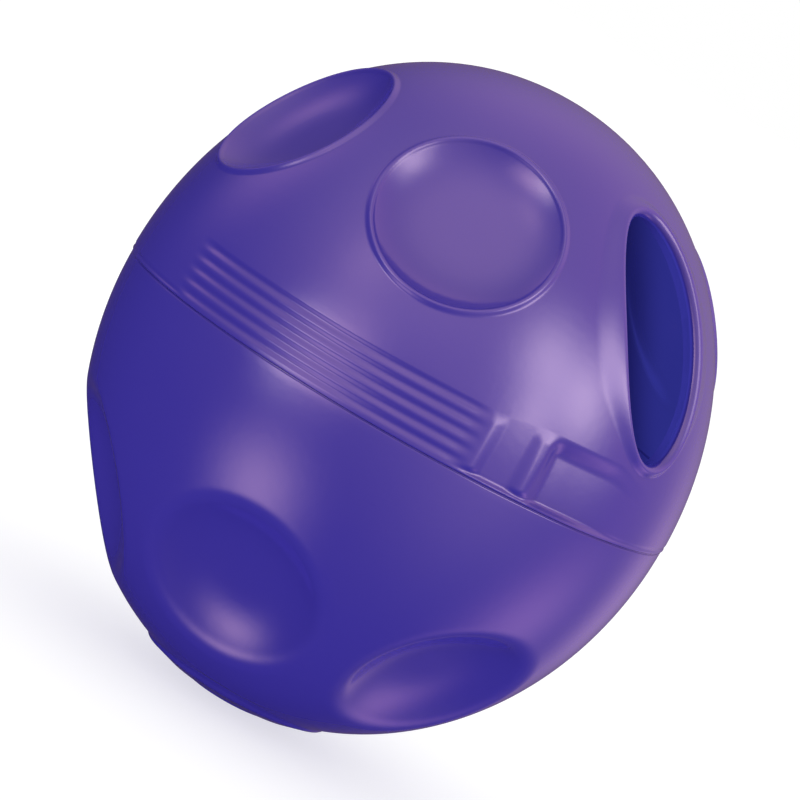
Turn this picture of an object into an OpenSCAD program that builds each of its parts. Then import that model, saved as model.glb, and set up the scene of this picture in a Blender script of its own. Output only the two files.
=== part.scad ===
// Treat dispensing ball: a hollow plastic ovoid in two halves that pull apart along the axis.
// +Z is the ball's axis, the origin is the ball's centre, and the treat slot faces -Y.
// Azimuths are degrees around +Z, 0 toward -Y and growing toward +X.

/* [Ball] */
// Diameter of the upper half at the equator
ball_d = 70; // [64:0.5:80]
// Length along the axis, from pole to pole
ball_len = 79.4; // [76:0.2:90]
// Wall of both halves
wall = 2.2; // [1.8:0.1:2.6]
// How far the lower half's skin lies inside the upper half's edge
seam_step = 0.15; // [0.1:0.05:0.4]
// Height of the seam above the centre
seam_z = 0.5; // [0:0.1:1]

/* [Dimples] */
// Radius of a dimple's rim
dimple_r = 10.4; // [9:0.1:11.5]
// Depth of a dimple below the plane of its rim
dimple_depth = 1.9; // [1:0.1:2.5]
// Height of the dimple centres above and below the middle
dimple_z = 24.4; // [23:0.1:26]
// Height of the thin bead round each upper dimple
rim_bead_h = 0.25; // [0.15:0.05:0.5]
// Width of that bead
rim_bead_w = 0.9; // [0.6:0.1:1.4]
// Turn of the lower half's dimples against the upper ones, in degrees
lower_turn = -6; // [-10:1:10]

/* [Treat slot] */
// Length of the slot, along the meridian
slot_len = 27.8; // [22:0.2:29]
// Width of the slot
slot_w = 13.8; // [10:0.2:15]
// Height of the slot's centre above the middle
slot_z = 23; // [22.5:0.1:24.5]
// Azimuth of the slot's centre, in degrees
slot_az = -3; // [-6:1:3]
// Lean of the slot away from the meridian, in degrees
slot_lean = 11; // [0:1:14]
// Width of the raised lip round the slot
lip_w = 1.5; // [1:0.1:2]
// Height of the lip above the skin
lip_h = 0.5; // [0.3:0.1:0.8]
// Wall left under the skin at the slot's edge, where the inner face is cut back
edge_wall = 0.9; // [0.8:0.1:1.4]
// Width of that cut-back
edge_cut = 1.4; // [0.6:0.1:2]

/* [Grip band] */
// Height of the ribbed band above the seam
band_h = 7.5; // [6.5:0.1:8]
// Number of grooves in each grip
groove_count = 5; // [3:1:6]
// Depth of a groove
groove_depth = 0.5; // [0.3:0.05:0.7]
// Width of a groove at its mouth
groove_w = 1.25; // [0.9:0.05:1.4]
// Span of a grip around the ball, in degrees
grip_span = 69; // [50:1:75]
// Azimuth of the first grip's stepped end, in degrees
grip_end = -37; // [-45:1:-32]
// Span of the plain ridge between a grip and its finger cove, in degrees
ridge_span = 3; // [2:1:6]
// Depth of the finger cove
cove_depth = 0.8; // [0.4:0.1:1]
// Span of a finger cove, in degrees
cove_span = 54; // [40:1:58]
// How far a finger cove reaches above the band
cove_rise = 1; // [0:0.1:1.2]

/* [Closure] */
// Wall of the upper skirt outside the socket
skirt_wall = 2.6; // [2.4:0.1:3]
// Height of the spigot above the seam
spigot_h = 7.2; // [6:0.1:7.4]
// Wall of the spigot
spigot_wall = 1.6; // [1.2:0.1:2]
// Radial gap between the spigot and the socket
fit_gap = 0.25; // [0.2:0.05:0.4]
// Gap between the seat faces at the seam
seat_gap = 0.1; // [0.05:0.05:0.2]
// Height of the snap bead, which stays inside the radial gap
snap_h = 0.18; // [0.1:0.02:0.18]
// Width of the snap bead
snap_w = 1.2; // [0.8:0.1:1.6]
// Height of the open groove under the seam
reveal_h = 0.4; // [0.3:0.1:1.2]
// Depth of that groove
reveal_depth = 0.4; // [0.3:0.1:0.8]

/* [Pole rings] */
// Height of the plain raised rings at the lower pole
ring_h = 0.35; // [0.2:0.05:0.5]
// Inner radius of the inner ring
ring_in_r = 2.6; // [2:0.1:3]
// Width of each ring
ring_w = 3.6; // [2:0.1:4]
// Distance between the rings
ring_gap = 2.2; // [1:0.1:3]

/* [Hidden] */

// Shares of the ovoid's shape: a power of 2 is a true ellipse
upper_power_share = 2.04;
lower_power_share = 2;
slot_power_share = 2.1;

// Places on the sixfold layout, in degrees
dimple_step = 60;
opposite = 180;

// Steps along the outlines
meridian_steps = 24;
slot_steps = 40;
ring_steps = 4;
smooth = 96;

// Small sizes shared by the cuts and edges
over = 1;
edge_round = 0.25;
shoulder_round = 0.3;
socket_clear = 0.5;
lead_in = 0.5;
groove_flare = 0.1;
snap_rise = 4.6;
taper_low = 6;
taper_high = 2.6;

// Derived sizes
half_d = ball_d / 2;
half_len = ball_len / 2;
low_half_d = half_d - seam_step;
low_half_len = half_len - ring_h;
band_top = seam_z + band_h;
cove_top = band_top + cove_rise;
groove_pitch = band_h / groove_count;
socket_r = half_d - skirt_wall;
spigot_r = socket_r - fit_gap;
spigot_top = seam_z + spigot_h;
socket_top = spigot_top + socket_clear;
snap_z = seam_z + snap_rise;
neck_r = low_half_d - reveal_depth;
seat_z = seam_z - seat_gap;
shoulder_z = seat_z - reveal_h;

// Radius of an ovoid with semi-axes rx and rz at height z
function ovoid_r(rx, rz, power, z) = rx * pow(1 - pow(min(abs(z) / rz, 1), power), 1 / power);

// Height of an ellipse with semi-axes rx and rz at radius r
function ellipse_z(rx, rz, r) = rz * sqrt(1 - pow(r / rx, 2));

// Heights of an outline from z0 to the pole at z1, closer together toward the pole
function heights(z0, z1) =
    let (a0 = asin(z0 / z1))
    [for (i = [0:meridian_steps]) z1 * sin(a0 + (90 - a0) * i / meridian_steps)];

// Points of an ovoid's outline from height z0 up to its pole
function quarter(rx, rz, power, z0) = [for (z = heights(z0, rz)) [ovoid_r(rx, rz, power, z), z]];

// The same outline below the middle, from height -z0 down to the lower pole
function lower_quarter(rx, rz, power, z0) = [for (p = quarter(rx, rz, power, z0)) [p[0], -p[1]]];

function reversed(list) = [for (i = [len(list) - 1:-1:0]) list[i]];

function signed_pow(v, p) = sign(v) * pow(abs(v), p);

// Oval outline with half sizes hx and hy
function oval(hx, hy) =
    [for (i = [0:slot_steps - 1]) let (a = 360 * i / slot_steps)
        [hx * signed_pow(cos(a), 2 / slot_power_share), hy * signed_pow(sin(a), 2 / slot_power_share)]];

// Slope of the surface's normal above the horizontal at height z
function normal_rise(z) =
    atan2(z * half_d * half_d, ovoid_r(half_d, half_len, lower_power_share, z) * half_len * half_len);

// Mean radius of curvature of the ovoid at height z
function mean_curve(z) =
    let (s = z / half_len, c = sqrt(1 - s * s), g = sqrt(pow(half_d * s, 2) + pow(half_len * c, 2)))
    g * g / half_len;

// Sag of the skin across a dimple, and the radius of the ball that presses it
dimple_sag = mean_curve(dimple_z) - sqrt(pow(mean_curve(dimple_z), 2) - pow(dimple_r, 2));
dish_r = (pow(dimple_r, 2) + pow(dimple_depth, 2)) / (2 * dimple_depth);

// Puts its children on the skin at an azimuth and a height, with their +Z along the normal
module on_skin(az, z, rx, rz, power) {
    rotate([0, 0, az - 90])
        translate([ovoid_r(rx, rz, power, z), 0, z])
            rotate([0, 90 - normal_rise(z), 0])
                children();
}

// Balls that press the dimples; grow = wall gives the matching bulges of the inner face
module dish_balls(azimuths, z, rx, rz, power, grow) {
    for (az = azimuths)
        on_skin(az, z, rx, rz, power)
            translate([0, 0, dish_r - dimple_depth - dimple_sag])
                sphere(r = dish_r + grow, $fn = smooth);
}

// Thin beads round the upper dimples, half sunk in the skin
module rim_beads(azimuths) {
    for (az = azimuths)
        on_skin(az, dimple_z, half_d, half_len, upper_power_share)
            translate([0, 0, -dimple_sag + rim_bead_h - rim_bead_w / 2])
                rotate_extrude($fn = smooth)
                    translate([dimple_r + rim_bead_w / 2, 0])
                        circle(d = rim_bead_w, $fn = smooth / 4);
}

// Prism along the slot's axis, grown all round by grow
module slot_prism(grow) {
    on_skin(slot_az, slot_z, half_d, half_len, upper_power_share)
        rotate([0, 0, slot_lean])
            linear_extrude(slot_len, center = true)
                polygon(oval(slot_len / 2 + grow, slot_w / 2 + grow));
}

// Outer body of the upper half, grown by grow, down to the seam
module upper_outer(grow) {
    edge = half_d + grow;
    rotate_extrude($fn = smooth)
        polygon(concat(
            [[0, seam_z], [edge - edge_round, seam_z], [edge, seam_z + edge_round]],
            quarter(edge, half_len + grow, upper_power_share, seam_z + 2 * edge_round)));
}

// Hollow of the upper half: the socket for the spigot, then the room for the treats
module upper_hollow() {
    rx = half_d - wall;
    rz = half_len - wall;
    rotate_extrude($fn = smooth)
        polygon(concat(
            [[0, seam_z - over], [socket_r, seam_z - over],
             [socket_r, snap_z - snap_w / 2], [socket_r + snap_h, snap_z - snap_w / 4],
             [socket_r + snap_h, snap_z + snap_w / 4], [socket_r, snap_z + snap_w / 2],
             [socket_r, socket_top]],
            quarter(rx, rz, upper_power_share, socket_top)));
}

// Comb that cuts the grooves of one grip, parallel to the seam
module grip_grooves(az) {
    far = half_d + over;
    grooves = [for (i = [0:groove_count - 1])
        let (z = seam_z + groove_pitch * (i + 0.5),
             r = ovoid_r(half_d, half_len, upper_power_share, z))
        each [[r + groove_flare, z - groove_w / 2], [r - groove_depth, z - groove_w / 4],
              [r - groove_depth, z + groove_w / 4], [r + groove_flare, z + groove_w / 2]]];
    rotate([0, 0, az - grip_span - 90])
        rotate_extrude(angle = grip_span, $fn = smooth)
            polygon(concat([[far, band_top], [far, seam_z]], grooves));
}

// What a finger cove takes away: the space outside a wider cone that stands off-centre
module finger_cove(az) {
    low_z = seam_z + groove_pitch / 2;
    top_r = ovoid_r(half_d, half_len, upper_power_share, cove_top);
    low_r = ovoid_r(half_d, half_len, upper_power_share, low_z);
    offset_x = cove_depth / (1 - cos(cove_span));
    rotate([0, 0, az - 90])
        intersection() {
            rotate_extrude(angle = cove_span, $fn = smooth)
                polygon([[socket_r, low_z], [half_d + over, low_z],
                         [half_d + over, cove_top], [socket_r, cove_top]]);
            translate([-offset_x * cos(cove_span / 3), -offset_x * sin(cove_span / 3), 0])
                rotate_extrude($fn = smooth)
                    polygon([[top_r + offset_x - cove_depth, cove_top], [low_r + offset_x, low_z],
                             [ball_d, low_z], [ball_d, cove_top]]);
        }
}

upper_dimples = [for (i = [1:5]) dimple_step * i];
lower_dimples = [for (i = [0:5]) lower_turn + dimple_step * i];

module upper_half() {
    color([0.42, 0.3, 0.66])
        difference() {
            union() {
                difference() {
                    upper_outer(0);
                    dish_balls(upper_dimples, dimple_z, half_d, half_len, upper_power_share, 0);
                }
                rim_beads(upper_dimples);
                intersection() {
                    upper_outer(lip_h);
                    slot_prism(lip_w);
                }
            }
            difference() {
                upper_hollow();
                dish_balls(upper_dimples, dimple_z, half_d, half_len, upper_power_share, wall);
            }
            slot_prism(0);
            intersection() {
                upper_outer(-edge_wall);
                slot_prism(edge_cut);
            }
            for (turn = [0, opposite]) {
                grip_grooves(grip_end + turn);
                finger_cove(grip_end + ridge_span + turn);
            }
        }
}

// One plain raised ring at the lower pole, from radius r0
module pole_ring(r0) {
    radii = [for (i = [0:ring_steps]) r0 + ring_w * i / ring_steps];
    rotate_extrude($fn = smooth)
        polygon(concat(
            [for (r = radii) [r, -ellipse_z(low_half_d, low_half_len, r) - ring_h]],
            [for (r = reversed(radii)) [r, wall / 2 - ellipse_z(low_half_d, low_half_len, r)]]));
}

// Skin, shoulder, neck and spigot of the lower half as one solid of revolution
module lower_outer() {
    skin = lower_quarter(low_half_d, low_half_len, lower_power_share, -shoulder_z + shoulder_round);
    rotate_extrude($fn = smooth)
        polygon(concat(
            [[0, seat_z]],
            reversed(skin),
            [[low_half_d - shoulder_round / 4, shoulder_z - shoulder_round / 4],
             [low_half_d - shoulder_round, shoulder_z],
             [neck_r, shoulder_z], [neck_r, seat_z]]));
}

module spigot() {
    rotate_extrude($fn = smooth)
        polygon([[0, shoulder_z], [spigot_r, shoulder_z],
                 [spigot_r, snap_z - snap_w / 2], [spigot_r + snap_h, snap_z - snap_w / 4],
                 [spigot_r + snap_h, snap_z + snap_w / 4], [spigot_r, snap_z + snap_w / 2],
                 [spigot_r, spigot_top - lead_in], [spigot_r - lead_in, spigot_top],
                 [0, spigot_top]]);
}

// Hollow of the lower half, drawn in to the bore of the spigot
module lower_hollow() {
    rx = low_half_d - wall;
    rz = low_half_len - wall;
    bore_r = spigot_r - spigot_wall;
    rotate_extrude($fn = smooth)
        polygon(concat(
            [[0, spigot_top + over]],
            reversed(lower_quarter(rx, rz, lower_power_share, taper_low)),
            [[bore_r, -taper_high], [bore_r, spigot_top + over]]));
}

module lower_half() {
    color([0.33, 0.24, 0.62])
        difference() {
            union() {
                difference() {
                    lower_outer();
                    dish_balls(lower_dimples, -dimple_z, low_half_d, low_half_len, lower_power_share, 0);
                }
                spigot();
                for (i = [0, 1])
                    pole_ring(ring_in_r + (ring_w + ring_gap) * i);
            }
            difference() {
                lower_hollow();
                dish_balls(lower_dimples, -dimple_z, low_half_d, low_half_len, lower_power_share, wall);
            }
        }
}

lower_half();
upper_half();
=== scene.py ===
"""Treat dispensing ball: a hollow plastic ovoid in two moulded halves that pull apart along +Z.

The shells are worked out in millimetres and put into the meshes in metres. Azimuths are
degrees around +Z, 0 toward -Y, where the treat slot faces, and growing toward +X.
"""

import bmesh
import bpy
import numpy as np
from mathutils import Matrix, Vector


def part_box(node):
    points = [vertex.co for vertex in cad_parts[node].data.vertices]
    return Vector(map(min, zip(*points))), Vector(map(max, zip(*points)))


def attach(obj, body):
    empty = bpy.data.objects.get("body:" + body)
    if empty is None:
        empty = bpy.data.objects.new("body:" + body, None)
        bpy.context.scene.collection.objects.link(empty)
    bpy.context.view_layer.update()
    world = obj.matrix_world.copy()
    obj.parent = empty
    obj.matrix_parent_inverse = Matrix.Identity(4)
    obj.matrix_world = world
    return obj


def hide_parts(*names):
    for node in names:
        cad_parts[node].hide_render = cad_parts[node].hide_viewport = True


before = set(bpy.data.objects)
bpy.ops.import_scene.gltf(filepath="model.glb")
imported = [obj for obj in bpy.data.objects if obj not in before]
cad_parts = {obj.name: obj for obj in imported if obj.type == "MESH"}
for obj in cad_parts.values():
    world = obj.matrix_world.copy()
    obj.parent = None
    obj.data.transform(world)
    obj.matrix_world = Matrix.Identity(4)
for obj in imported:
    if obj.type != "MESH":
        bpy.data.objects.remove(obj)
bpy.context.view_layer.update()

MM = 0.001

# Driving sizes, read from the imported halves, in millimetres
upper_low, upper_high = [np.array(corner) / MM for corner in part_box("upper_half")]
lower_low, lower_high = [np.array(corner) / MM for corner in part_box("lower_half")]
HALF_D = min(upper_high[0], upper_high[1], -upper_low[0], -upper_low[1])
HALF_LEN = upper_high[2]
SEAM_Z = upper_low[2]
SPIGOT_TOP = lower_high[2]

# Walls and steps
WALL = 2.2
SEAM_STEP = 0.15
RING_H = 0.35
LOW_HALF_D = HALF_D - SEAM_STEP
LOW_HALF_LEN = HALF_LEN - RING_H
UPPER_POWER = 2.04
LOWER_POWER = 2

# Dimples, five in the upper half and six in the lower one
STEP = 60
HALF_STEP = STEP / 2
DIMPLE_R = 10.4
DIMPLE_Z = 24.4
DIMPLE_DEPTH = 2.3
DISH_POWER = 3.4
LEVEL_POWER = 4
BEAD_H = 0.34
BEAD_R = DIMPLE_R + 0.36
BEAD_HALF_W = 0.54
SOFT_R = 10.8
SOFT_DEPTH = 4.2
SOFT_POWER = 2.5
RIM_START = 0.88
BULGE_R = 12.4
BULGE_DEPTH = 4.4
BULGE_POWER = 1.5
LOWER_TURN = -6

# Treat slot, its lip and its cut-back inner edge
SLOT_AZ = -3
SLOT_Z = 23
SLOT_LEAN = 11
SLOT_LEN = 27.8
SLOT_W = 13.8
SLOT_POWER = 2.1
LIP_H = 0.55
LIP_ROUND = 0.7
LIP_DROP = 0.35
LIP_FOOT = 2.4
LIP_FOOT_SIDE = 4.2
LIP_FOOT_LOW = 1.45
LIP_SOFT = 0.55
LIP_CREASE = 1.3
LOW_END = 1.1
CUT_BACK = 1.6

# Rows of the slot's wall: depth under the lip, and share of the cut-back there
SLOT_WALL_ROWS = (
    (0, 0),
    (0.2, 0),
    (0.4, 0.02),
    (0.5, 0.06),
    (0.6, 0.14),
    (0.75, 0.3),
    (1.0, 0.62),
    (1.3, 0.85))

# Grip band over the seam: ribs, a plain ridge, then a finger cove
BAND_H = 7.4
BAND_TOP = SEAM_Z + BAND_H
GROOVES = 5
GROOVE_DEPTH = 0.21
GROOVE_POWER = 2.2
EDGE_RIB = 0.45
VALLEY_DEPTH = 0.09
VALLEY_Z = 0.5
VALLEY_HALF_W = 0.36
LIP_OVER_SEAM = (0.15, 0.8)
FACE_SINK = 0.4
END_BEAD_H = 0.2
END_BEAD_FOOT = (0.2, 1.2)
END_BEAD_HEAD = 1.4
COVE_DEPTH = 1.15
COVE_LOW_SHARE = 0.7
COVE_POWER = 1.2
COVE_HEAD = 2.2
LEDGE_RISE = 1.2
HEAD_EDGE = 0.05
FADE_STOP = 0.4

# Places round the band, in degrees past the end of the ribs: where each form begins and ends
GRIP_END = -37.4
GRIP_SPAN = 68.5
RIBS_START = (-GRIP_SPAN, -GRIP_SPAN + 5)
RIBS_STOP = (-4.5, 0.5)
FACE_START = (-1.5, 2)
FACE_STOP = (12.3, 15.3)
END_BEADS = ((0.4, 3.1), (11.4, 3.3))
COVE_START = (12.6, 16)
COVE_STOP = (20, 42)
LEDGE_CLIMB = (-33, 0)
LEDGE_STEP = (0, 7)
LEDGE_STOP = (29.4, 38)
CLIMB_SHARE = 0.35
RIDGE_MIDDLE = 6.5
OPPOSITE = 180

# Closure: radii, then corners as steps of radius and height from a wall and its end
SOCKET_R = 32.4
SOCKET_TOP = 8.2
SOCKET_RIM = 1.6
SOCKET_BEVEL = 0.3
SOCKET_HEEL = 0.4
SPIGOT_R = 32.15
SPIGOT_WALL = 1.6
SPIGOT_BEVEL = 0.2
TIP_OUTSIDE = ((0, 0.5), (-0.15, 0.2), (-0.5, 0))
TIP_INSIDE = ((0.25, 0), (0.05, 0.1), (0, 0.3))
BORE_HEELS = (0, 2.6)
BORE_JOIN = 6
SNAP_H = 0.18
SNAP_W = 1.2
SNAP_Z = 5.1
REVEAL_H = 0.1
REVEAL_DEPTH = 0.08
SEAT_GAP = 0.04
EDGE_ROUND = 0.2
SHOULDER_ROUND = 0.12

# Plain rings at the lower pole
RING_IN = 2.6
RING_W = 3.6
RING_GAP = 2.2
RING_EDGE = 0.45
RING_STARTS = (RING_IN, RING_IN + RING_W + RING_GAP)

# Radius at which the pole caps begin, and where the lower half's dimpled part ends
CAP_R = 9.5
LOWER_CAP_R = 13.4
LOWER_DOME_Z = 8

# Columns round one sixth of a half, rows up its sides, columns where the cap begins, and rows
# of the smaller forms
COLUMNS = 72
SIDES = 34
TOPS = 16
CORNER_POINTS = 5
SNAP_ROWS = 9
FLANK_ROWS = 10
FLANK_END = 0.05
GROOVE_ROWS = 10
EDGE_ROWS = 4
EDGE_END = 0.03
BAND_START = 0.06
LIP_ROUND_ROWS = 8
LIP_SLOPE_ROWS = 13
SLOT_INNER_ROWS = 8
SAMPLES = 400
FINE_SAMPLES = 3001
NEWTON_STEPS = 12
TINY = 1e-9
FOCUS_GAIN = 3.2
FOCUS_WIDTH = 6.5
WELD = 2e-6
SHARP_ANGLE = np.radians(38)

# Shares of the way from a feature's last ring to the edge of its sixth, and ring radii
OUTWARD = np.linspace(0, 1, 11)[1:] ** 1.25
CRISP_RADII = np.concatenate([[0.9, 2, 3.2, 4.4], np.linspace(5.4, 9.8, 16), np.linspace(10, 11.5, 14)])
SOFT_RADII = np.concatenate([[0.9, 2.1, 3.3], np.linspace(4.4, SOFT_R * 1.15, 24)])
BULGE_RADII = np.concatenate([[1.2, 3, 4.8], np.linspace(6.4, BULGE_R, 8)])
CAP_RADII = (0.8, 1.8, 3, 4.2, 5.4, 6.6, 7.6, 8.6)
LOWER_CAP_RADII = (1.5, 4, 7, 10)
POLE_RADII = (0.9, 1.8)


def smooth_step(low, high, value):
    """0 below low, 1 above high, and 3 t squared minus 2 t cubed of the share t between."""
    t = np.clip((value - low) / (high - low), 0, 1)
    return t * t * (3 - 2 * t)


def bell(value):
    """Cosine bell: 1 at 0, falling to 0 at -1 and 1 with a level foot."""
    return np.where(np.abs(value) < 1, (1 + np.cos(np.pi * np.clip(value, -1, 1))) / 2, 0)


class Skin:
    """An ovoid of revolution: (r / rx) to the power p plus (z / rz) to the power p is 1."""

    def __init__(self, rx, rz, power):
        self.rx = rx
        self.rz = rz
        self.power = power

    def radius(self, z):
        """Distance from the axis at height z."""
        share = np.clip(np.abs(z) / self.rz, 0, 1) ** self.power
        return self.rx * (1 - share) ** (1 / self.power)

    def height(self, r):
        """Height above the middle at distance r from the axis."""
        share = np.clip(np.abs(r) / self.rx, 0, 1) ** self.power
        return self.rz * (1 - share) ** (1 / self.power)

    def point(self, az, z):
        """The skin's point at an azimuth and a height."""
        return turned(self.radius(z), az, z)

    def normal(self, p):
        """Outward normal at p: the gradient of the ovoid's equation, made one long."""
        r = np.maximum(np.hypot(p[..., 0], p[..., 1]), TINY)
        out = (r / self.rx) ** (self.power - 1) / self.rx
        up = (np.abs(p[..., 2]) / self.rz) ** (self.power - 1) / self.rz
        n = np.stack([out * p[..., 0] / r, out * p[..., 1] / r, up * np.sign(p[..., 2])], -1)
        return n / np.linalg.norm(n, axis=-1, keepdims=True)

    def heights(self, z0, z1, count):
        """Heights from z0 to z1, evenly spaced along the meridian."""
        angle0 = np.arcsin(z0 / self.rz)
        angle1 = np.arcsin(z1 / self.rz)
        z = self.rz * np.sin(np.linspace(angle0, angle1, SAMPLES))
        step = np.hypot(np.diff(z), np.diff(self.radius(z)))
        length = np.concatenate([[0], np.cumsum(step)])
        even = np.interp(np.linspace(0, length[-1], count + 1), length, z)
        even[0] = z0
        even[-1] = z1
        return even


def turned(r, az, z):
    """The point at distance r from the axis, azimuth az and height z, as arrays of x, y, z."""
    r, az, z = np.broadcast_arrays(r, np.radians(az), z)
    return np.stack([r * np.sin(az), -r * np.cos(az), z], -1).astype(float)


class Patch:
    """Tangent plane of a skin at one point: a runs east, b toward the pole, w outward."""

    def __init__(self, skin, az, z, lean=0):
        self.skin = skin
        self.origin = skin.point(az, z)
        self.out = skin.normal(self.origin)
        east = np.array([np.cos(np.radians(az)), np.sin(np.radians(az)), 0])
        north = np.cross(self.out, east)
        c, s = np.cos(np.radians(lean)), np.sin(np.radians(lean))
        self.east = c * east + s * north
        self.north = c * north - s * east

    def flat(self, p):
        """a and b of points in space."""
        d = p - self.origin
        return d @ self.east, d @ self.north

    def place(self, a, b, w):
        """Points at a, b and height w over the tangent plane."""
        a, b, w = np.broadcast_arrays(a, b, w)
        return (self.origin + a[..., None] * self.east + b[..., None] * self.north
                + w[..., None] * self.out)

    def lift(self, a, b, skin=None):
        """Height of a skin over the plane at a, b: Newton's steps along the patch's normal."""
        skin = skin or self.skin
        a, b = np.broadcast_arrays(a, b)
        w = -(a * a + b * b) / (2 * skin.rx)
        for _ in range(NEWTON_STEPS):
            p = self.place(a, b, w)
            r = np.maximum(np.hypot(p[..., 0], p[..., 1]), TINY)
            high = np.abs(p[..., 2])
            value = (r / skin.rx) ** skin.power + (high / skin.rz) ** skin.power - 1
            out = skin.power * (r / skin.rx) ** (skin.power - 1) / skin.rx
            up = skin.power * (high / skin.rz) ** (skin.power - 1) / skin.rz
            slope = ((p[..., 0] * self.out[0] + p[..., 1] * self.out[1]) / r * out
                     + np.sign(p[..., 2]) * self.out[2] * up)
            w = w - value / slope
        return w


class Shell:
    """Collects grids of points with their faces, and makes one closed mesh of them."""

    def __init__(self):
        self.points = []
        self.faces = []
        self.count = 0

    def grid(self, rows, flip=False):
        """Quads between the rows of a grid whose columns run round and close."""
        rows = np.asarray(rows, float)
        n, m = rows.shape[:2]
        i, j = np.meshgrid(np.arange(n - 1), np.arange(m), indexing="ij")
        k = (j + 1) % m
        quads = np.stack([i * m + j, (i + 1) * m + j, (i + 1) * m + k, i * m + k], -1)
        self._add(rows.reshape(-1, 3), quads.reshape(-1, 4), flip)

    def fan(self, tip, ring, flip=False):
        """Triangles from a tip to a closed ring."""
        m = len(ring)
        j = np.arange(m)
        tris = np.stack([np.zeros(m, int), 1 + j, 1 + (j + 1) % m], -1)
        self._add(np.vstack([tip, ring]), tris, flip)

    def _add(self, points, faces, flip):
        faces = faces[:, ::-1] if flip else faces
        self.faces.extend((faces + self.count).tolist())
        self.points.append(points)
        self.count += len(points)

    def piece(self, name, mirror=False):
        """The mesh object, in metres; mirror turns the half over, with its faces."""
        points = np.vstack(self.points) * MM
        faces = self.faces
        if mirror:
            points = points * [1, 1, -1]
            faces = [face[::-1] for face in faces]
        mesh = bpy.data.meshes.new(name)
        mesh.from_pydata(points.tolist(), [], faces)
        bm = bmesh.new()
        bm.from_mesh(mesh)
        bmesh.ops.remove_doubles(bm, verts=bm.verts, dist=WELD)
        bm.to_mesh(mesh)
        bm.free()
        mesh.polygons.foreach_set("use_smooth", np.ones(len(mesh.polygons), bool))
        mesh.set_sharp_from_angle(angle=SHARP_ANGLE)
        obj = bpy.data.objects.new(name, mesh)
        bpy.context.scene.collection.objects.link(obj)
        return obj


def columns(centre, focus=None):
    """Azimuths across one sixth, drawn together round focus by a bell of higher density."""
    az = np.linspace(centre - HALF_STEP, centre + HALF_STEP, FINE_SAMPLES)
    density = np.ones_like(az)
    if focus is not None:
        density += FOCUS_GAIN * np.exp(-((az - focus) / FOCUS_WIDTH) ** 2)
    share = np.concatenate([[0], np.cumsum((density[1:] + density[:-1]) / 2)])
    return np.interp(np.linspace(0, 1, COLUMNS + 1), share / share[-1], az)


def sector_edge(skin, centre, cols, z0, z1):
    """Loop round one sixth of a dome, anticlockwise as seen from outside; z0 varies with azimuth."""
    bottom = skin.point(cols, z0(cols))
    right = skin.point(centre + HALF_STEP, skin.heights(z0(centre + HALF_STEP), z1, SIDES))[1:]
    top = skin.point(np.linspace(centre + HALF_STEP, centre - HALF_STEP, TOPS + 1), z1)[1:]
    left = skin.point(centre - HALF_STEP, skin.heights(z0(centre - HALF_STEP), z1, SIDES)[::-1])[1:-1]
    return np.vstack([bottom, right, top, left])


def spread(ring_a, ring_b, edge, patch, skin, shares):
    """Rows from a ring out to the sector's edge, straight in the patch's plane, on the skin."""
    edge_a, edge_b = patch.flat(edge)
    t = np.asarray(shares)[:, None]
    a = ring_a + (edge_a - ring_a) * t
    b = ring_b + (edge_b - ring_b) * t
    rows = patch.place(a, b, patch.lift(a, b, skin))
    rows[-1] = edge
    return rows


def crisp_dimple(rho, angle, patch, skin):
    """Upper dimple: a flat floor that curves up ever more steeply to a thin bead round its rim.

    The depth under the rim's plane is the full depth times one minus u to the dish's power,
    with u the share of the rim's radius. The rim's own rise comes in with another power of u,
    and the bead is a cosine bell across its width.
    """
    a, b = rho * np.cos(angle), rho * np.sin(angle)
    lifted = patch.lift(a, b, skin)
    rim = patch.lift(DIMPLE_R * np.cos(angle), DIMPLE_R * np.sin(angle), skin)
    plane = rim.mean()
    u = np.clip(rho / DIMPLE_R, 0, 1)
    dish = plane - DIMPLE_DEPTH * (1 - u ** DISH_POWER) + (rim - plane) * u ** LEVEL_POWER
    skinned = np.where(rho < DIMPLE_R, dish, lifted)
    bead = BEAD_H * bell((rho - BEAD_R) / BEAD_HALF_W)
    return patch.place(a, b, skinned + bead)


def soft_dimple(rho, angle, patch, skin):
    """Lower dimple: a round bowl whose rim blends into the skin.

    Below u = RIM_START the skin sinks by its depth times one minus u to a power; from there a
    square, of the same height and slope at that u, falls to nothing.
    """
    a, b = rho * np.cos(angle), rho * np.sin(angle)
    u = rho / SOFT_R
    high = 1 - RIM_START ** SOFT_POWER
    width = 2 * high / (SOFT_POWER * RIM_START ** (SOFT_POWER - 1))
    rim = high * (np.clip(RIM_START + width - u, 0, None) / width) ** 2
    sunk = SOFT_DEPTH * np.where(u < RIM_START, 1 - u ** SOFT_POWER, rim)
    return patch.place(a, b, patch.lift(a, b, skin) - sunk)


def bulge(rho, angle, patch, skin):
    """Inner side of a dimple: the skin sinks by its depth times one minus u squared, to a power."""
    a, b = rho * np.cos(angle), rho * np.sin(angle)
    u = np.clip(rho / BULGE_R, 0, 1)
    return patch.place(a, b, patch.lift(a, b, skin) - BULGE_DEPTH * (1 - u * u) ** BULGE_POWER)


def dimple_sector(shell, skin, az, cols, z0, z1, radii, profile, flip=False):
    """One sixth of a dome round a dimple: rings out from its centre, then rows to the edge."""
    patch = Patch(skin, az, DIMPLE_Z)
    edge = sector_edge(skin, az, cols, z0, z1)
    edge_a, edge_b = patch.flat(edge)
    angle = np.arctan2(edge_b, edge_a)
    rho = np.asarray(radii)[:, None]
    rings = profile(rho, angle[None, :], patch, skin)
    last = radii[-1]
    outer = spread(last * np.cos(angle), last * np.sin(angle), edge, patch, skin, OUTWARD)
    shell.fan(profile(np.zeros((1, 1)), angle[None, :1], patch, skin)[0], rings[0], flip)
    shell.grid(np.concatenate([rings, outer]), flip)


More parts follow.
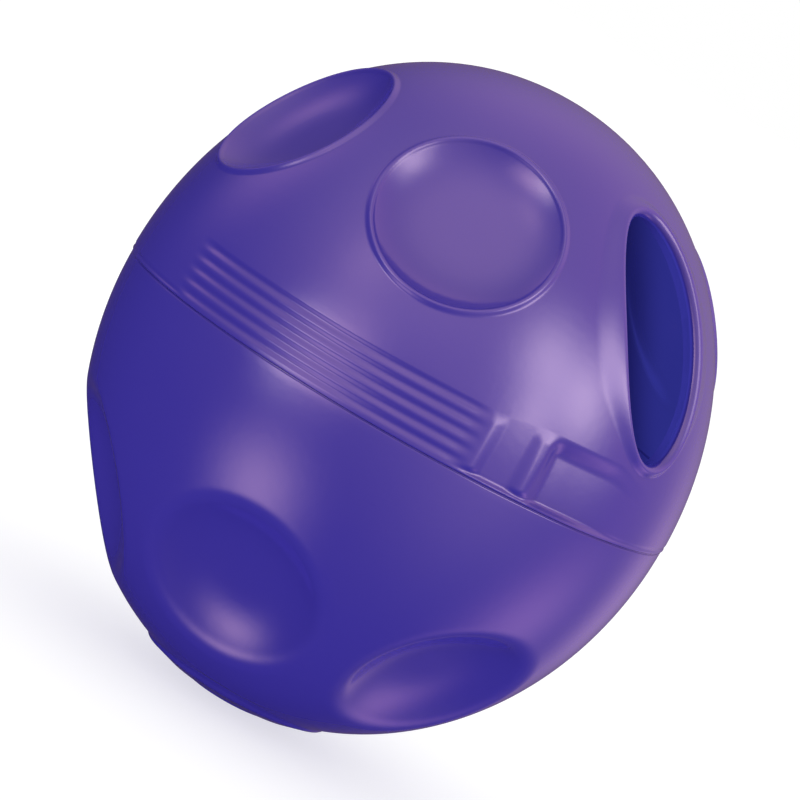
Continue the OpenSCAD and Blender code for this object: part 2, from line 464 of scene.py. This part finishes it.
def slot_outline(angle, grow):
    """Slot's outline grown by grow: a superellipse, (a / hx)^p plus (b / hy)^p is 1."""
    hx = SLOT_W / 2 + grow
    hy = SLOT_LEN / 2 + grow
    c, s = np.abs(np.cos(angle)), np.abs(np.sin(angle))
    rho = ((c / hx) ** SLOT_POWER + (s / hy) ** SLOT_POWER) ** (-1 / SLOT_POWER)
    return rho * np.cos(angle), rho * np.sin(angle)


def lip_rows(angle):
    """Growth and height of the lip's rows: a quarter round at the slot, then a slope outward.

    Inside, the height rises from -LIP_DROP to LIP_H on a quarter circle. Outside it falls by a mix
    of a smooth step and one minus t to a power, which ends in a soft crease, over a foot that is
    widest at the sides and narrow at the slot's low end.
    """
    turn = np.linspace(0, np.pi / 2, LIP_ROUND_ROWS)[:, None]
    inner_grow = LIP_ROUND * (1 - np.cos(turn)) + 0 * angle
    inner_height = (LIP_H + LIP_DROP) * np.sin(turn) - LIP_DROP + 0 * angle
    t = np.linspace(0, 1, LIP_SLOPE_ROWS + 1)[1:, None]
    foot = LIP_FOOT + (LIP_FOOT_SIDE - LIP_FOOT) * np.cos(angle) ** 2
    foot = foot + (LIP_FOOT_LOW - foot) * bell((angle + np.pi / 2) / LOW_END)
    outer_grow = LIP_ROUND + (foot - LIP_ROUND) * t
    slope = LIP_SOFT * (1 - smooth_step(0, 1, t)) + (1 - LIP_SOFT) * (1 - t) ** LIP_CREASE
    outer_height = LIP_H * slope + 0 * angle
    return np.vstack([inner_grow, outer_grow]), np.vstack([inner_height, outer_height])


def slot_sector(shell, outer, inner, cols, z_outer, z_inner):
    """The sixth with the treat slot: lip, wall with a cut-back edge, and both skins round it."""
    patch = Patch(outer, SLOT_AZ, SLOT_Z, SLOT_LEAN)
    edge = sector_edge(outer, 0, cols, *z_outer)
    edge_a, edge_b = patch.flat(edge)
    angle = np.arctan2(edge_b, edge_a)[None, :]
    grow, height = lip_rows(angle)
    a, b = slot_outline(angle, grow)
    base = patch.place(a, b, patch.lift(a, b))
    lip = base + outer.normal(base) * height[..., None]
    outward = spread(a[-1], b[-1], edge, patch, outer, OUTWARD)
    shell.grid(np.concatenate([lip, outward]))

    # Wall of the slot: straight under the lip, then cut back to meet the inner skin further out
    top_a, top_b = patch.flat(lip[0])
    top = (lip[0] - patch.origin) @ patch.out
    wide = 1 - bell((angle + np.pi / 2) / LOW_END)
    down, share = np.array(SLOT_WALL_ROWS).T[:, :, None]
    back = CUT_BACK * share * wide
    wall_a, wall_b = slot_outline(angle, back)
    shift_a, shift_b = slot_outline(angle, 0 * angle)
    wall_a = wall_a + top_a - shift_a
    wall_b = wall_b + top_b - shift_b
    wall = patch.place(wall_a, wall_b, top - down)
    foot_a, foot_b = slot_outline(angle, CUT_BACK * wide)
    foot_a = (foot_a + top_a - shift_a)[0]
    foot_b = (foot_b + top_b - shift_b)[0]
    foot = patch.place(foot_a, foot_b, patch.lift(foot_a, foot_b, inner))
    wall = np.concatenate([wall, foot[None]])
    shell.grid(wall, flip=True)

    # Inner skin round the slot
    inner_edge = sector_edge(inner, 0, cols, *z_inner)
    shares = np.linspace(0, 1, SLOT_INNER_ROWS + 1)[1:]
    rows = spread(foot_a, foot_b, inner_edge, patch, inner, shares)
    shell.grid(np.concatenate([wall[-1:], rows]), flip=True)


def cap(shell, skin, az, z1, rise, radii, flip=False):
    """Pole cap: rings at the given radii out to height z1, raised by rise(r)."""
    r = np.asarray(radii)[:, None]
    rows = turned(r, az, skin.height(r) + rise(r))
    rows = np.concatenate([rows, skin.point(az, z1)[None]])
    shell.fan(np.array([[0, 0, skin.rz + float(rise(np.zeros(1))[0])]]), rows[0], flip)
    shell.grid(rows, flip)


def wrapped(angle):
    """Angle between -90 and 90 from the nearer of two opposite places."""
    return (angle + OPPOSITE / 2) % OPPOSITE - OPPOSITE / 2


def grip_window(az):
    """How far the grooves are cut: 1 inside a grip, with a short fade at either end."""
    d = wrapped(az - GRIP_END)
    return smooth_step(*RIBS_START, d) * (1 - smooth_step(*RIBS_STOP, d))


def over_seam(span, z):
    """Smooth step between two heights over the seam."""
    return smooth_step(SEAM_Z + span[0], SEAM_Z + span[1], z)


def under_top(height, z):
    """1 up to a height below the band's top, and 0 at the top."""
    return 1 - smooth_step(BAND_TOP - height, BAND_TOP - HEAD_EDGE, z)


def height_share(z):
    """Share of the way from the seam to just under the band's top."""
    return np.clip((z - SEAM_Z) / (BAND_H - FADE_STOP), 0, 1)


def ridge_sink(d, z):
    """How far the plain ridge's face is cut in: most at the seam, nothing at the band's top."""
    window = smooth_step(*FACE_START, d) * (1 - smooth_step(*FACE_STOP, d))
    return window * (1 - height_share(z)) * over_seam(LIP_OVER_SEAM, z)


def ridge_beads(d, z):
    """Two upright beads, cosine bells across, one at either end of the plain ridge."""
    beads = sum(bell((d - middle) / half_width) for middle, half_width in END_BEADS)
    return beads * over_seam(END_BEAD_FOOT, z) * under_top(END_BEAD_HEAD, z)


def cove_window(az):
    """How deep the finger cove is: a drop past the plain ridge, then a slow rise."""
    d = wrapped(az - GRIP_END)
    return smooth_step(*COVE_START, d) * (1 - smooth_step(*COVE_STOP, d))


def band_top(az):
    """Upper edge of the band: it climbs over the ribs, steps up, and over the cove is a ledge."""
    d = wrapped(az - GRIP_END)
    rise = CLIMB_SHARE * smooth_step(*LEDGE_CLIMB, d) + (1 - CLIMB_SHARE) * smooth_step(*LEDGE_STEP, d)
    return BAND_TOP + LEDGE_RISE * rise * (1 - smooth_step(*LEDGE_STOP, d))


def groove_profile(z):
    """Depth share of the grooves at height z, above the rib at the seam's edge.

    It is the size of a sine, of half a turn for each groove, to a power that broadens the ribs.
    """
    share = np.clip((z - SEAM_Z - EDGE_RIB) / (BAND_H - EDGE_RIB), 0, 1)
    return np.abs(np.sin(np.pi * GROOVES * share)) ** GROOVE_POWER


def cove_profile(z):
    """Depth share of the cove: nothing at the seam's lip, most just under the ledge's rounding."""
    share = COVE_LOW_SHARE + (1 - COVE_LOW_SHARE) * height_share(z) ** COVE_POWER
    return share * over_seam(LIP_OVER_SEAM, z) * under_top(COVE_HEAD, z)


def band_rows(skin, az):
    """Grip band from the dome down to the seam's edge: the skin cut by its forms.

    The forms' heights are those of a level band, which is then stretched up to the real top.
    """
    low = SEAM_Z + EDGE_ROUND
    fine = np.linspace(BAND_TOP, SEAM_Z + EDGE_RIB, GROOVES * GROOVE_ROWS + 1)[1:]
    last = np.linspace(SEAM_Z + EDGE_RIB, low + EDGE_END, EDGE_ROWS + 1)[1:]
    level = np.concatenate([[BAND_TOP - BAND_START], fine, last])[:, None]
    top = band_top(az)[None, :]
    z = low + (level - low) * (top - low) / (BAND_TOP - low)
    d = wrapped(az - GRIP_END)[None, :]
    grip = grip_window(az)[None, :]
    beads = ridge_beads(d, level)
    depth = (GROOVE_DEPTH * groove_profile(level) * grip
             + COVE_DEPTH * cove_profile(level) * cove_window(az)[None, :]
             + VALLEY_DEPTH * bell((level - SEAM_Z - VALLEY_Z) / VALLEY_HALF_W) * (1 - grip)
             + FACE_SINK * ridge_sink(d, level) * (1 - beads)
             - END_BEAD_H * beads)
    return turned(skin.radius(z) - depth, az[None, :], z)


def round_corner(r, z, size):
    """Points of a quarter round about (r, z), from straight outward to straight down."""
    angle = np.linspace(0, -np.pi / 2, CORNER_POINTS)
    return [(r + size * np.cos(t), z + size * np.sin(t)) for t in angle]


def turned_rows(profile, az, cut=0):
    """Rows of a solid of revolution through an outline of (r, z) points, cut in by cut."""
    outline = np.array(profile, float)
    return turned(outline[:, :1] - cut, az[None, :], outline[:, 1:])


def snap_ring(r, sign):
    """Outline of a snap bead on a wall of radius r, from top to bottom or the other way."""
    z = np.linspace(SNAP_Z + SNAP_W / 2, SNAP_Z - SNAP_W / 2, SNAP_ROWS)
    return [(r + SNAP_H * float(bell((v - SNAP_Z) / (SNAP_W / 2))), sign * v) for v in z]


def make_upper_half():
    """Upper shell: slot, five crisp dimples, grip band, socket with its snap groove."""
    skin = Skin(HALF_D, HALF_LEN, UPPER_POWER)
    inner = Skin(HALF_D - WALL, HALF_LEN - WALL, UPPER_POWER)
    shell = Shell()
    z_outer = (band_top, float(skin.height(CAP_R)))
    z_inner = (level_at(SOCKET_TOP), float(inner.height(CAP_R)))
    all_columns = []
    for k in range(6):
        centre = k * STEP
        cols = columns(centre, nearest_ridge(centre))
        all_columns.append(cols[:-1])
        if k == 0:
            slot_sector(shell, skin, inner, cols, z_outer, z_inner)
            continue
        dimple_sector(shell, skin, centre, cols, *z_outer, CRISP_RADII, crisp_dimple)
        dimple_sector(shell, inner, centre, cols, *z_inner, BULGE_RADII, bulge, flip=True)
    az = np.concatenate(all_columns)
    tops = np.arange(6 * TOPS) * STEP / TOPS + HALF_STEP
    cap(shell, skin, tops, z_outer[1], np.zeros_like, CAP_RADII)
    cap(shell, inner, tops, z_inner[1], np.zeros_like, CAP_RADII, flip=True)
    band = band_rows(skin, az)
    low = SEAM_Z + EDGE_ROUND
    rim = skin.radius(low)
    edge = round_corner(rim - EDGE_ROUND, low, EDGE_ROUND)
    cut = rim - np.hypot(band[-1, :, 0], band[-1, :, 1])
    edge_rows = turned_rows(edge, az, cut)
    outline = (
        [(SOCKET_R + SOCKET_RIM, SEAM_Z)]
        + [(SOCKET_R + SOCKET_BEVEL, SEAM_Z), (SOCKET_R, SEAM_Z + SOCKET_BEVEL)]
        + snap_ring(SOCKET_R, 1)[::-1]
        + [(SOCKET_R, SOCKET_TOP - SOCKET_HEEL), (SOCKET_R, SOCKET_TOP)])
    shell.grid(np.concatenate([
        skin.point(az, band_top(az))[None], band, edge_rows, turned_rows(outline, az),
        inner.point(az, SOCKET_TOP)[None]]))
    return shell.piece("upper_shell")


def level_at(z):
    """A lower edge at the same height all round."""
    return lambda az: z + 0 * az


def nearest_ridge(centre):
    """Azimuth of the middle of the plain ridge that is nearest to a sixth's centre."""
    return centre + float(wrapped(GRIP_END + RIDGE_MIDDLE - centre))


def ring_rise(r):
    """Two plain raised rings at the lower pole, with rounded edges."""
    rise = np.zeros_like(r)
    for start in RING_STARTS:
        inner_edge = smooth_step(start, start + RING_EDGE, r)
        outer_edge = 1 - smooth_step(start + RING_W - RING_EDGE, start + RING_W, r)
        rise = rise + RING_H * inner_edge * outer_edge
    return rise


def make_lower_half():
    """Lower shell, worked out upside down: soft dimples, pole rings, neck and spigot."""
    skin = Skin(LOW_HALF_D, LOW_HALF_LEN, LOWER_POWER)
    inner = Skin(LOW_HALF_D - WALL, LOW_HALF_LEN - WALL, LOWER_POWER)
    shell = Shell()
    z_outer = (level_at(LOWER_DOME_Z), float(skin.height(LOWER_CAP_R)))
    z_inner = (level_at(LOWER_DOME_Z), float(inner.height(LOWER_CAP_R)))
    all_columns = []
    for k in range(6):
        centre = k * STEP + LOWER_TURN
        cols = columns(centre)
        all_columns.append(cols[:-1])
        dimple_sector(shell, skin, centre, cols, *z_outer, SOFT_RADII, soft_dimple)
        dimple_sector(shell, inner, centre, cols, *z_inner, BULGE_RADII, bulge, flip=True)
    az = np.concatenate(all_columns)
    tops = np.arange(6 * TOPS) * STEP / TOPS + HALF_STEP + LOWER_TURN
    edges = []
    for start in RING_STARTS:
        edges.append(start + np.linspace(0, RING_EDGE, CORNER_POINTS))
        edges.append(start + RING_W - np.linspace(RING_EDGE, 0, CORNER_POINTS))
    radii = np.concatenate([POLE_RADII, *edges])
    cap(shell, skin, tops, z_outer[1], ring_rise, radii)
    cap(shell, inner, tops, z_inner[1], np.zeros_like, LOWER_CAP_RADII, flip=True)
    seat = -(SEAM_Z - SEAT_GAP)
    shoulder = seat + REVEAL_H
    neck = LOW_HALF_D - REVEAL_DEPTH
    top = -SPIGOT_TOP
    bore = SPIGOT_R - SPIGOT_WALL
    heights = np.linspace(LOWER_DOME_Z, shoulder + SHOULDER_ROUND + FLANK_END, FLANK_ROWS + 1)[1:]
    flank = [(float(skin.radius(z)), z) for z in heights]
    corner = (LOW_HALF_D - SHOULDER_ROUND, shoulder + SHOULDER_ROUND)
    outline = (
        flank
        + round_corner(*corner, SHOULDER_ROUND)[1:]
        + [(neck, shoulder), (neck, seat)]
        + [(SPIGOT_R + SPIGOT_BEVEL, seat), (SPIGOT_R, seat - SPIGOT_BEVEL)]
        + snap_ring(SPIGOT_R, -1)[::-1]
        + [(SPIGOT_R + across, top + down) for across, down in TIP_OUTSIDE]
        + [(bore + across, top + down) for across, down in TIP_INSIDE]
        + [(bore, z) for z in BORE_HEELS]
        + [(float(inner.radius(BORE_JOIN)), BORE_JOIN)])
    shell.grid(np.concatenate([
        skin.point(az, LOWER_DOME_Z)[None], turned_rows(outline, az),
        inner.point(az, LOWER_DOME_Z)[None]]))
    return shell.piece("lower_shell", mirror=True)


class Socket:
    """A node's output, with the arithmetic that adds Math nodes."""

    def __init__(self, tree, socket):
        self.tree = tree
        self.socket = socket

    def maths(self, operation, *others):
        return self.tree.node("ShaderNodeMath", {"operation": operation}, [self, *others])

    def __add__(self, other):
        return self.maths("ADD", other)

    __radd__ = __add__

    def __mul__(self, other):
        return self.maths("MULTIPLY", other)

    __rmul__ = __mul__

    def __sub__(self, other):
        return self.maths("SUBTRACT", other)

    def __rsub__(self, other):
        return self.tree.node("ShaderNodeMath", {"operation": "SUBTRACT"}, [other, self])


class Tree:
    """Adds nodes to a material's or the world's tree."""

    def __init__(self, owner):
        owner.use_nodes = True
        self.tree = owner.node_tree
        self.tree.nodes.clear()

    def node(self, kind, settings=None, inputs=None, output=0):
        """One node: its settings first, then its sockets' values or links."""
        made = self.tree.nodes.new(kind)
        for key, value in (settings or {}).items():
            setattr(made, key, value)
        pairs = enumerate(inputs) if isinstance(inputs, list) else (inputs or {}).items()
        for key, value in pairs:
            if isinstance(value, Socket):
                self.tree.links.new(value.socket, made.inputs[key])
            else:
                made.inputs[key].default_value = value
        return Socket(self, made.outputs[output]) if made.outputs else made


# Painted light: an emission on the faces turned to the middle of the ball stands in for light that
# the thin wall lets through, more on the side toward the light. The pairs say how far a face is
# turned in, and how far it lies toward the lit side, in metres, where the painted glow begins and where
# it is full
PAINTED_INNER_GLOW = (0.022, 0.024, 0.19)
TURNED_IN = (0.05, -0.35)
LIT_SIDE = (0.555, -0.667, 0.497)
LIT_FROM = (0.026, 0.031)
PAINTED_FAR_GLOW = 0.2


def moulded_plastic(name, colour, deep_colour):
    """Satin moulded plastic: slightly uneven pigment, a fine skin texture and faint scuffs.

    The faces turned to the middle of the ball have a faint painted glow, an emission standing in for
    light through the wall, more on the side toward the light.
    """
    material = bpy.data.materials.new(name)
    tree = Tree(material)
    place = tree.node("ShaderNodeTexCoord", output="Object")
    flow = tree.node("ShaderNodeTexNoise", {}, {"Vector": place, "Scale": 28.0, "Detail": 3.0})
    speckle = tree.node("ShaderNodeTexNoise", {}, {"Vector": place, "Scale": 900.0, "Detail": 2.0})
    pigment = tree.node("ShaderNodeMix", {"data_type": "RGBA"},
                        {0: flow, 6: (*deep_colour, 1), 7: (*colour, 1)}, output=2)
    scuffs = tree.node("ShaderNodeTexNoise", {}, {"Vector": place, "Scale": 160.0, "Detail": 5.0})
    rough = 0.12 + 0.03 * flow + 0.04 * scuffs
    grain = tree.node("ShaderNodeBump", {}, {"Strength": 0.05, "Distance": 0.0002, "Height": speckle})
    inward = tree.node("ShaderNodeVectorMath", {"operation": "DOT_PRODUCT"}, [
        tree.node("ShaderNodeTexCoord", output="Normal"),
        tree.node("ShaderNodeVectorMath", {"operation": "NORMALIZE"}, [place])], output=1)
    within = tree.node("ShaderNodeMapRange", {"interpolation_type": "SMOOTHSTEP"}, {
        "Value": inward, "From Min": TURNED_IN[0], "From Max": TURNED_IN[1]})
    side = tree.node("ShaderNodeVectorMath", {"operation": "DOT_PRODUCT"}, [place, LIT_SIDE], output=1)
    lit = tree.node("ShaderNodeMapRange", {"interpolation_type": "SMOOTHSTEP"}, {
        "Value": side, "From Min": LIT_FROM[0], "From Max": LIT_FROM[1], "To Min": PAINTED_FAR_GLOW})
    # Painted light: emission colour, full on inward faces toward the lit side and fainter on the far
    # side
    glow = tree.node("ShaderNodeMix", {"data_type": "RGBA"},
                     {0: within * lit, 6: (0, 0, 0, 1), 7: (*PAINTED_INNER_GLOW, 1)}, output=2)
    shader = tree.node("ShaderNodeBsdfPrincipled", {}, {
        "Base Color": pigment, "Roughness": rough, "Normal": grain, "IOR": 1.6,
        "Specular IOR Level": 0.9, "Specular Tint": (1, 0.68, 0.88, 1),
        "Emission Color": glow, "Emission Strength": 1.0})
    tree.node("ShaderNodeOutputMaterial", {}, {"Surface": shader})
    return material


def dress(piece, body, node, material):
    """Gives a shell its material and its body, and hides the imported node that it stands for."""
    piece.data.materials.append(material)
    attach(piece, body)
    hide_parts(node)


upper_plastic = moulded_plastic("upper_violet_plastic", (0.048, 0.033, 0.36), (0.043, 0.029, 0.335))
lower_plastic = moulded_plastic("lower_violet_plastic", (0.045, 0.032, 0.36), (0.041, 0.028, 0.335))
dress(make_upper_half(), "upper", "upper_half", upper_plastic)
dress(make_lower_half(), "lower", "lower_half", lower_plastic)

# The photograph's view, in degrees and millimetres: the ball's axis leans in the picture, and
# it is seen from a little above
VIEW_AZ = -54
VIEW_RISE = 6.49
VIEW_ROLL = 29.97
VIEW_DISTANCE = 500
FIELD_WIDTH = 91.7
AIM_RIGHT = 0.395
AIM_UP = 0.1
SENSOR = 36


def view_axes():
    """Right, up and back of the photograph's camera."""
    az, rise, roll = np.radians([VIEW_AZ, VIEW_RISE, VIEW_ROLL])
    back = np.array([np.sin(az) * np.cos(rise), -np.cos(az) * np.cos(rise), np.sin(rise)])
    level = np.array([np.cos(az), np.sin(az), 0])
    high = np.cross(back, level)
    right = np.cos(roll) * level + np.sin(roll) * high
    up = np.cos(roll) * high - np.sin(roll) * level
    return right, up, back


def axes_matrix():
    """Turn whose axes are the view's right, up and back."""
    return Matrix(np.stack(view_axes(), 1).tolist()).to_4x4()


def make_camera():
    """Camera at the photograph's view, with its aim moved a little across and up."""
    right, up, back = view_axes()
    data = bpy.data.cameras.new("photo_view")
    data.sensor_width = SENSOR
    data.lens = SENSOR * VIEW_DISTANCE / FIELD_WIDTH
    camera = bpy.data.objects.new("photo_view", data)
    place = AIM_RIGHT * right + AIM_UP * up + VIEW_DISTANCE * back
    camera.matrix_world = axes_matrix()
    camera.matrix_world.translation = Vector(place * MM)
    bpy.context.scene.collection.objects.link(camera)
    bpy.context.scene.camera = camera


def seen_white(tree):
    """1 for rays that show the background: those of the camera, of gloss and through glass."""
    path = tree.node("ShaderNodeLightPath")
    rays = [Socket(tree, path.socket.node.outputs[name])
            for name in ("Is Camera Ray", "Is Glossy Ray", "Is Transmission Ray")]
    return rays[0].maths("MAXIMUM", rays[1]).maths("MAXIMUM", rays[2])


def make_world(ambient):
    """Even white surroundings for what is seen, and a dimmer fill for diffuse light."""
    world = bpy.data.worlds.new("studio")
    bpy.context.scene.world = world
    tree = Tree(world)
    strength = seen_white(tree) * (1 - ambient) + ambient
    sky = tree.node("ShaderNodeBackground", {}, {"Color": (1, 1, 1, 1), "Strength": strength})
    tree.node("ShaderNodeOutputWorld", {}, {"Surface": sky})


FLOOR_HALF = 4.0
FLOOR_COLOUR = (1.5, 1.5, 1.5, 1)


def make_floor(shade):
    """Plain white floor under the lower pole, see-through from below.

    shade is how much of the ball's shadow it shows.
    """
    mesh = bpy.data.meshes.new("floor")
    z = lower_low[2] * MM
    corners = [(x * FLOOR_HALF, y * FLOOR_HALF, z) for x, y in ((-1, -1), (1, -1), (1, 1), (-1, 1))]
    mesh.from_pydata(corners, [], [(0, 1, 2, 3)])
    floor = bpy.data.objects.new("floor", mesh)
    bpy.context.scene.collection.objects.link(floor)
    material = bpy.data.materials.new("pale_floor")
    tree = Tree(material)
    lit = tree.node("ShaderNodeBsdfDiffuse", {}, {"Color": FLOOR_COLOUR})
    white = tree.node("ShaderNodeEmission", {}, {"Color": (1, 1, 1, 1), "Strength": 1.0})
    top = tree.node("ShaderNodeMixShader", {}, {0: shade, 1: white, 2: lit})
    clear = tree.node("ShaderNodeBsdfTransparent")
    underside = tree.node("ShaderNodeNewGeometry", output="Backfacing")
    surface = tree.node("ShaderNodeMixShader", {}, {0: underside, 1: top, 2: clear})
    tree.node("ShaderNodeOutputMaterial", {}, {"Surface": surface})
    mesh.materials.append(material)
    floor.visible_glossy = False


# Light tent: its radius in metres, its columns and rows, and the colours of its cloth, of the
# strip lights behind the cloth, and of its far side
TENT_R = 1.5
TENT_COLUMNS = 144
TENT_ROWS = 91
CLOTH = (1, 0.9, 0.8)
STRIP = (1, 1.1, 0.95)
FAR = (1, 0.68, 0.92)

# Its soft patches: clock angle in the picture (0 right, 90 up), angle from the camera's side,
# half width, strength and colour
PATCHES = (
    (78, 49, 47, 1.4, CLOTH),
    (152, 28, 12, 1.9, CLOTH),
    (155, 42, 10, 2.8, STRIP),
    (5, 51, 12, 2.9, STRIP),
    (-9, 68, 12, 3.6, STRIP),
    (-19, 48, 9, 2.4, STRIP),
    (68, 119, 28, 0.6, FAR),
    (120, 105, 15, 0.8, FAR),
    (8, 104, 36, 1.0, FAR),
    (207, 55, 15, 2.2, CLOTH),
    (330, 47, 35, 0.7, CLOTH),
    (303, 103, 17, 1.1, FAR),
    (317, 144, 16, 0.6, FAR),
    (112, 44, 11, 0.6, CLOTH),
    (20, 150, 35, 0.25, FAR))


def tent_tone(unit):
    """Colour of the light tent in directions given as right, up and toward-camera parts.

    Each patch adds its strength times e to minus the square of the angle from its middle, over
    its half width.
    """
    tone = np.zeros_like(unit)
    for clock, polar, width, strength, colour in PATCHES:
        c, p = np.radians([clock, polar])
        middle = np.array([np.sin(p) * np.cos(c), np.sin(p) * np.sin(c), np.cos(p)])
        away = np.degrees(np.arccos(np.clip(unit @ middle, -1, 1)))
        tone += strength * np.exp(-(away / width) ** 2)[:, None] * np.array(colour)
    return tone


def make_tent():
    """Light tent that the plastic reflects: a ball of cloth, seen by glossy rays alone."""
    turns = np.linspace(0, 2 * np.pi, TENT_COLUMNS + 1)[:-1]
    turn, rise = np.meshgrid(turns, np.linspace(-1, 1, TENT_ROWS) * np.pi / 2, indexing="ij")
    unit = np.stack([np.cos(rise) * np.sin(turn), np.sin(rise), np.cos(rise) * np.cos(turn)], -1)
    n, m = turn.shape
    i, j = np.meshgrid(np.arange(n), np.arange(m - 1), indexing="ij")
    k = (i + 1) % n
    quads = np.stack([i * m + j, i * m + j + 1, k * m + j + 1, k * m + j], -1).reshape(-1, 4)
    mesh = bpy.data.meshes.new("light_tent")
    mesh.from_pydata((unit.reshape(-1, 3) * TENT_R).tolist(), [], quads.tolist())
    tone = tent_tone(unit.reshape(-1, 3))
    colours = np.hstack([tone, np.ones((len(tone), 1))])
    layer = mesh.color_attributes.new("tone", "FLOAT_COLOR", "POINT")
    layer.data.foreach_set("color", colours.ravel())
    tent = bpy.data.objects.new("light_tent", mesh)
    tent.matrix_world = axes_matrix()
    bpy.context.scene.collection.objects.link(tent)
    material = bpy.data.materials.new("tent_cloth")
    tree = Tree(material)
    cloth = tree.node("ShaderNodeAttribute", {"attribute_name": "tone"})
    glow = tree.node("ShaderNodeEmission", {}, {"Color": cloth, "Strength": 1.0})
    tree.node("ShaderNodeOutputMaterial", {}, {"Surface": glow})
    mesh.materials.append(material)
    tent.visible_camera = False
    tent.visible_diffuse = False
    tent.visible_transmission = False
    tent.visible_shadow = False


bpy.context.scene.view_settings.view_transform = "Standard"
make_camera()
make_world(ambient=0.85)
make_floor(shade=0.35)
make_tent()
